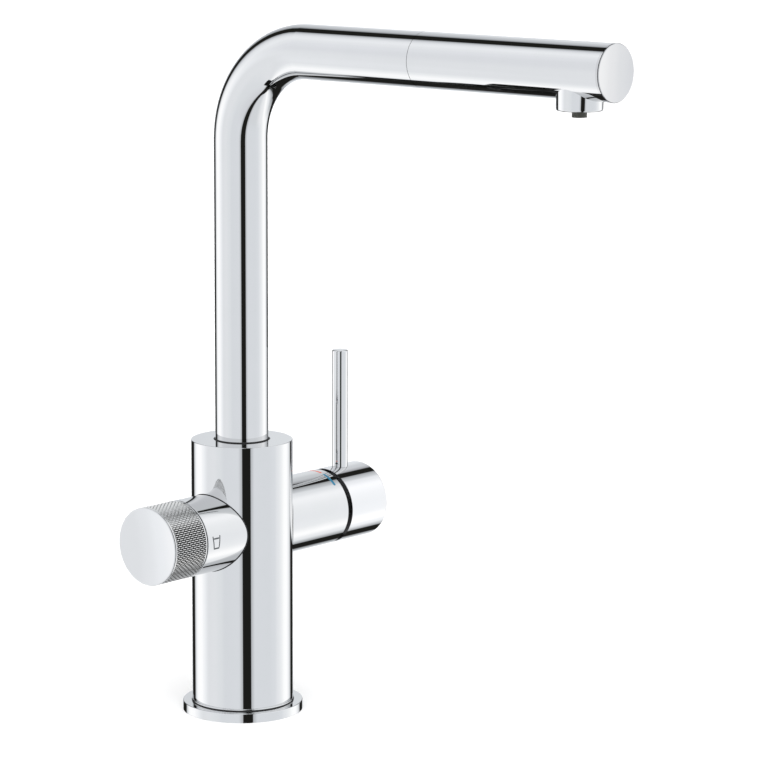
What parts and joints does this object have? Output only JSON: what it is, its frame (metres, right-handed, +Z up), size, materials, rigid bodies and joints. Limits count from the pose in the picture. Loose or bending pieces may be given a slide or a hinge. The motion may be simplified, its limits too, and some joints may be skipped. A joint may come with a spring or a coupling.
{
  "type": "water filter kitchen tap",
  "caption": "Single-hole kitchen tap: round body, L-shaped swivel spout with a pull-out head, side mixer lever and a knurled knob for filtered water.",
  "frame": {"origin": "centre of the flange's underside, on the deck", "axes": "+Z up, the spout runs forward along -Y, the mixer lever is out along +X and the filter knob along -X"},
  "size_m": [0.1666, 0.2767, 0.369],
  "materials": {
    "chrome": "polished chrome plate on brass",
    "brass": "machined brass",
    "stainless_steel": "turned stainless steel",
    "black_rubber": "moulded black rubber",
    "ceramic": "lapped off-white ceramic",
    "white_plastic": "moulded off-white acetal",
    "black_plastic": "moulded black plastic",
    "grey_plastic": "moulded dark grey plastic",
    "hose_sheath": "grey braided nylon sheath",
    "line_plastic": "extruded polyethylene tube",
    "red_enamel": "red enamel inlay",
    "blue_enamel": "blue enamel inlay",
    "grey_enamel": "dark grey enamel inlay"
  },
  "bodies": {
    "root": {"base_flange": "chrome", "base_gasket": "black_rubber", "base_manifold": "brass", "manifold_screws": "stainless_steel", "port_seals": "black_rubber", "body_shell": "chrome", "valve_core": "brass", "housing_seals": "black_rubber", "thrust_washer": "white_plastic", "swivel_bush": "white_plastic", "spout_seal_ring": "black_rubber", "filter_housing": "brass", "filter_collar": "chrome", "filter_symbol": "grey_enamel", "headpart_seal": "black_rubber", "headpart_body": "brass", "fixed_filter_disc": "ceramic", "knob_slide_ring": "black_plastic", "mixer_housing": "brass", "mixer_sleeve": "chrome", "hot_mark": "red_enamel", "cold_mark": "blue_enamel", "cartridge_base": "white_plastic", "cartridge_seals": "black_rubber", "cartridge_body": "white_plastic", "fixed_mixing_disc": "ceramic", "cartridge_nut": "stainless_steel", "shroud_ring": "black_plastic"},
    "filter_valve": {"turning_filter_disc": "ceramic", "headpart_spindle": "brass", "filter_knob": "chrome", "knob_insert": "white_plastic"},
    "mixer_carrier": {"cartridge_driver": "white_plastic", "pivot_pin": "stainless_steel"},
    "flow_slider": {"sliding_mixing_disc": "ceramic", "disc_carrier": "white_plastic"},
    "mixer_handle": {"cartridge_stem": "stainless_steel", "mixer_cap": "chrome", "lever_pin": "chrome", "cap_set_screw": "stainless_steel"},
    "spout": {"spout_tube": "chrome", "spout_foot": "brass", "spout_seals": "black_rubber", "spout_clip": "stainless_steel", "dock_bush": "white_plastic", "pull_out_hose": "hose_sheath", "filtered_line": "line_plastic", "hose_end_ferrule": "stainless_steel", "hose_end_nipple": "brass"},
    "head": {"head_shell": "chrome", "head_end_cap": "chrome", "head_spigot": "white_plastic", "hose_head_fitting": "brass", "hose_nut": "brass", "head_core": "white_plastic", "filter_stem": "white_plastic", "aerator_housing": "grey_plastic", "aerator_insert": "white_plastic", "filter_nozzle": "grey_plastic"}
  },
  "joints": [
    {"name": "spout_swivel", "type": "hinge", "parent": "root", "child": "spout", "pos_m": [0, 0, 0.13], "axis": [0, 0, 1], "range_deg": [-75, 75]},
    {"name": "head_pull", "type": "slide", "parent": "spout", "child": "head", "axis": [0, -1, 0], "range_m": [0, 0.2], "deforming": ["pull_out_hose", "filtered_line"]},
    {"name": "filter_turn", "type": "hinge", "parent": "root", "child": "filter_valve", "pos_m": [-0.06, 0, 0.1005], "axis": [-1, 0, 0], "range_deg": [0, 90]},
    {"name": "mixer_turn", "type": "hinge", "parent": "root", "child": "mixer_carrier", "pos_m": [0.046, 0, 0.1005], "axis": [1, 0, 0], "range_deg": [-45, 45]},
    {"name": "mixer_tilt", "type": "hinge", "parent": "mixer_carrier", "child": "mixer_handle", "pos_m": [0.046, 0, 0.1005], "axis": [0, 1, 0], "range_deg": [0, 20]},
    {"name": "flow_slide", "type": "slide", "parent": "mixer_carrier", "child": "flow_slider", "axis": [0, 0, 1], "range_m": [0, 0.002]}
  ],
  "couplings": [
    {"joint": "flow_slide", "follows": "mixer_tilt", "m_per_rad": 0.00544}
  ]
}
